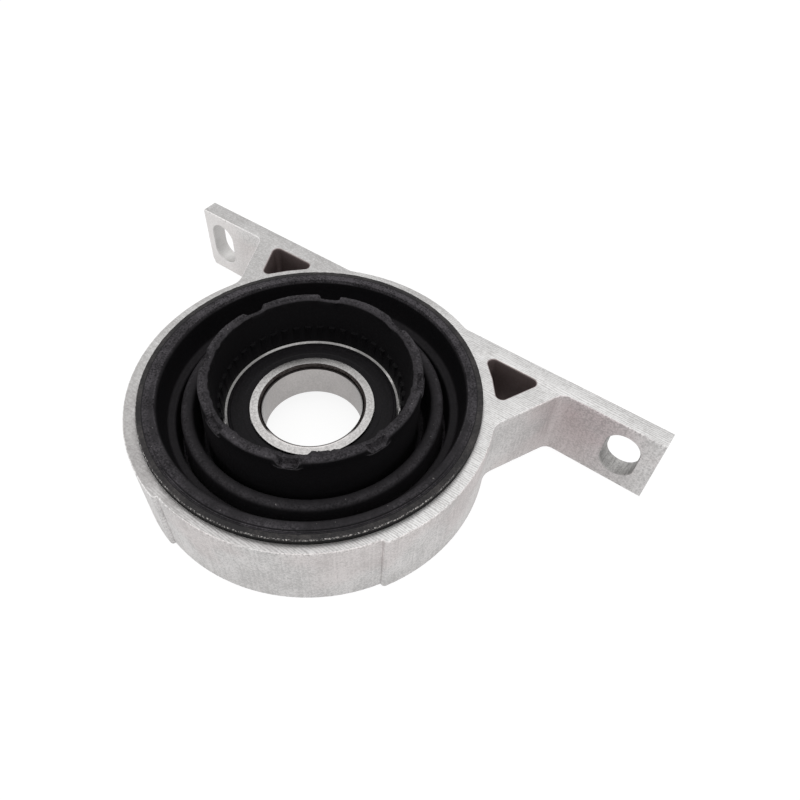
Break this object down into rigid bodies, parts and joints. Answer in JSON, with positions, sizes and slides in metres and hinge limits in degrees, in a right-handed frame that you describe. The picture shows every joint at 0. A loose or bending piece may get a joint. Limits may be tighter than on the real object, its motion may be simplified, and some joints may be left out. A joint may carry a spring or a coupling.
{
  "type": "driveshaft centre bearing",
  "caption": "Ball bearing in a rubber bellows inside an extruded bracket ring with two slotted ears, to carry the middle of a two-piece driveshaft.",
  "frame": {"origin": "centre of the shaft bore, at the bearing's middle plane", "axes": "+Z along the bore towards the collar's open end, +X along the mounting bar, +Y from the bore to the bar"},
  "size_m": [0.1781, 0.106, 0.0326],
  "materials": {
    "extrusion": "mill-finish extrusion with sawn ends",
    "coated_steel": "black coating, worn bright along the upper edge",
    "rubber": "moulded, dusty on its upper edges",
    "pressed_steel": "plain pressed sheet",
    "ground_steel": "ground",
    "seal": "smooth moulded",
    "ball_steel": "polished"
  },
  "bodies": {
    "bracket": {"bracket": "extrusion", "outer_sleeve": "coated_steel", "rubber_bellows": "rubber"},
    "hub": {"bearing_carrier": "pressed_steel", "outer_race": "ground_steel", "front_seal": "seal", "rear_seal": "seal"},
    "shaft_ring": {"inner_race": "ground_steel"},
    "cage": {"cage_front": "pressed_steel", "cage_rear": "pressed_steel", "cage_rivets": "pressed_steel"},
    "rolling_ball_1": {"ball_1": "ball_steel"},
    "rolling_ball_2": {"ball_2": "ball_steel"},
    "rolling_ball_3": {"ball_3": "ball_steel"},
    "rolling_ball_4": {"ball_4": "ball_steel"},
    "rolling_ball_5": {"ball_5": "ball_steel"},
    "rolling_ball_6": {"ball_6": "ball_steel"},
    "rolling_ball_7": {"ball_7": "ball_steel"},
    "rolling_ball_8": {"ball_8": "ball_steel"},
    "rolling_ball_9": {"ball_9": "ball_steel"},
    "rolling_ball_10": {"ball_10": "ball_steel"},
    "rolling_ball_11": {"ball_11": "ball_steel"}
  },
  "joints": [
    {"name": "hub_float", "type": "slide", "parent": "bracket", "child": "hub", "axis": [0, 0, 1], "range_m": [-0.004, 0.004], "stiffness_N_per_m": 15000, "deforming": ["rubber_bellows"]},
    {"name": "shaft_spin", "type": "hinge", "parent": "hub", "child": "shaft_ring", "pos_m": [0, 0, 0], "axis": [0, 0, 1], "continuous": true},
    {"name": "cage_spin", "type": "hinge", "parent": "hub", "child": "cage", "pos_m": [0, 0, 0], "axis": [0, 0, 1], "continuous": true},
    {"name": "ball_1_spin", "type": "hinge", "parent": "cage", "child": "rolling_ball_1", "pos_m": [0.02125, 0, 0], "axis": [0, 0, 1], "continuous": true},
    {"name": "ball_2_spin", "type": "hinge", "parent": "cage", "child": "rolling_ball_2", "pos_m": [0.01788, 0.01149, 0], "axis": [0, 0, 1], "continuous": true},
    {"name": "ball_3_spin", "type": "hinge", "parent": "cage", "child": "rolling_ball_3", "pos_m": [0.00883, 0.01933, 0], "axis": [0, 0, 1], "continuous": true},
    {"name": "ball_4_spin", "type": "hinge", "parent": "cage", "child": "rolling_ball_4", "pos_m": [-0.00302, 0.02103, 0], "axis": [0, 0, 1], "continuous": true},
    {"name": "ball_5_spin", "type": "hinge", "parent": "cage", "child": "rolling_ball_5", "pos_m": [-0.01392, 0.01606, 0], "axis": [0, 0, 1], "continuous": true},
    {"name": "ball_6_spin", "type": "hinge", "parent": "cage", "child": "rolling_ball_6", "pos_m": [-0.02039, 0.00599, 0], "axis": [0, 0, 1], "continuous": true},
    {"name": "ball_7_spin", "type": "hinge", "parent": "cage", "child": "rolling_ball_7", "pos_m": [-0.02039, -0.00599, 0], "axis": [0, 0, 1], "continuous": true},
    {"name": "ball_8_spin", "type": "hinge", "parent": "cage", "child": "rolling_ball_8", "pos_m": [-0.01392, -0.01606, 0], "axis": [0, 0, 1], "continuous": true},
    {"name": "ball_9_spin", "type": "hinge", "parent": "cage", "child": "rolling_ball_9", "pos_m": [-0.00302, -0.02103, 0], "axis": [0, 0, 1], "continuous": true},
    {"name": "ball_10_spin", "type": "hinge", "parent": "cage", "child": "rolling_ball_10", "pos_m": [0.00883, -0.01933, 0], "axis": [0, 0, 1], "continuous": true},
    {"name": "ball_11_spin", "type": "hinge", "parent": "cage", "child": "rolling_ball_11", "pos_m": [0.01788, -0.01149, 0], "axis": [0, 0, 1], "continuous": true}
  ],
  "couplings": [
    {"joint": "cage_spin", "follows": "shaft_spin", "ratio": 0.41595},
    {"joint": "ball_1_spin", "follows": "shaft_spin", "ratio": -2.8905},
    {"joint": "ball_2_spin", "follows": "shaft_spin", "ratio": -2.8905},
    {"joint": "ball_3_spin", "follows": "shaft_spin", "ratio": -2.8905},
    {"joint": "ball_4_spin", "follows": "shaft_spin", "ratio": -2.8905},
    {"joint": "ball_5_spin", "follows": "shaft_spin", "ratio": -2.8905},
    {"joint": "ball_6_spin", "follows": "shaft_spin", "ratio": -2.8905},
    {"joint": "ball_7_spin", "follows": "shaft_spin", "ratio": -2.8905},
    {"joint": "ball_8_spin", "follows": "shaft_spin", "ratio": -2.8905},
    {"joint": "ball_9_spin", "follows": "shaft_spin", "ratio": -2.8905},
    {"joint": "ball_10_spin", "follows": "shaft_spin", "ratio": -2.8905},
    {"joint": "ball_11_spin", "follows": "shaft_spin", "ratio": -2.8905}
  ]
}
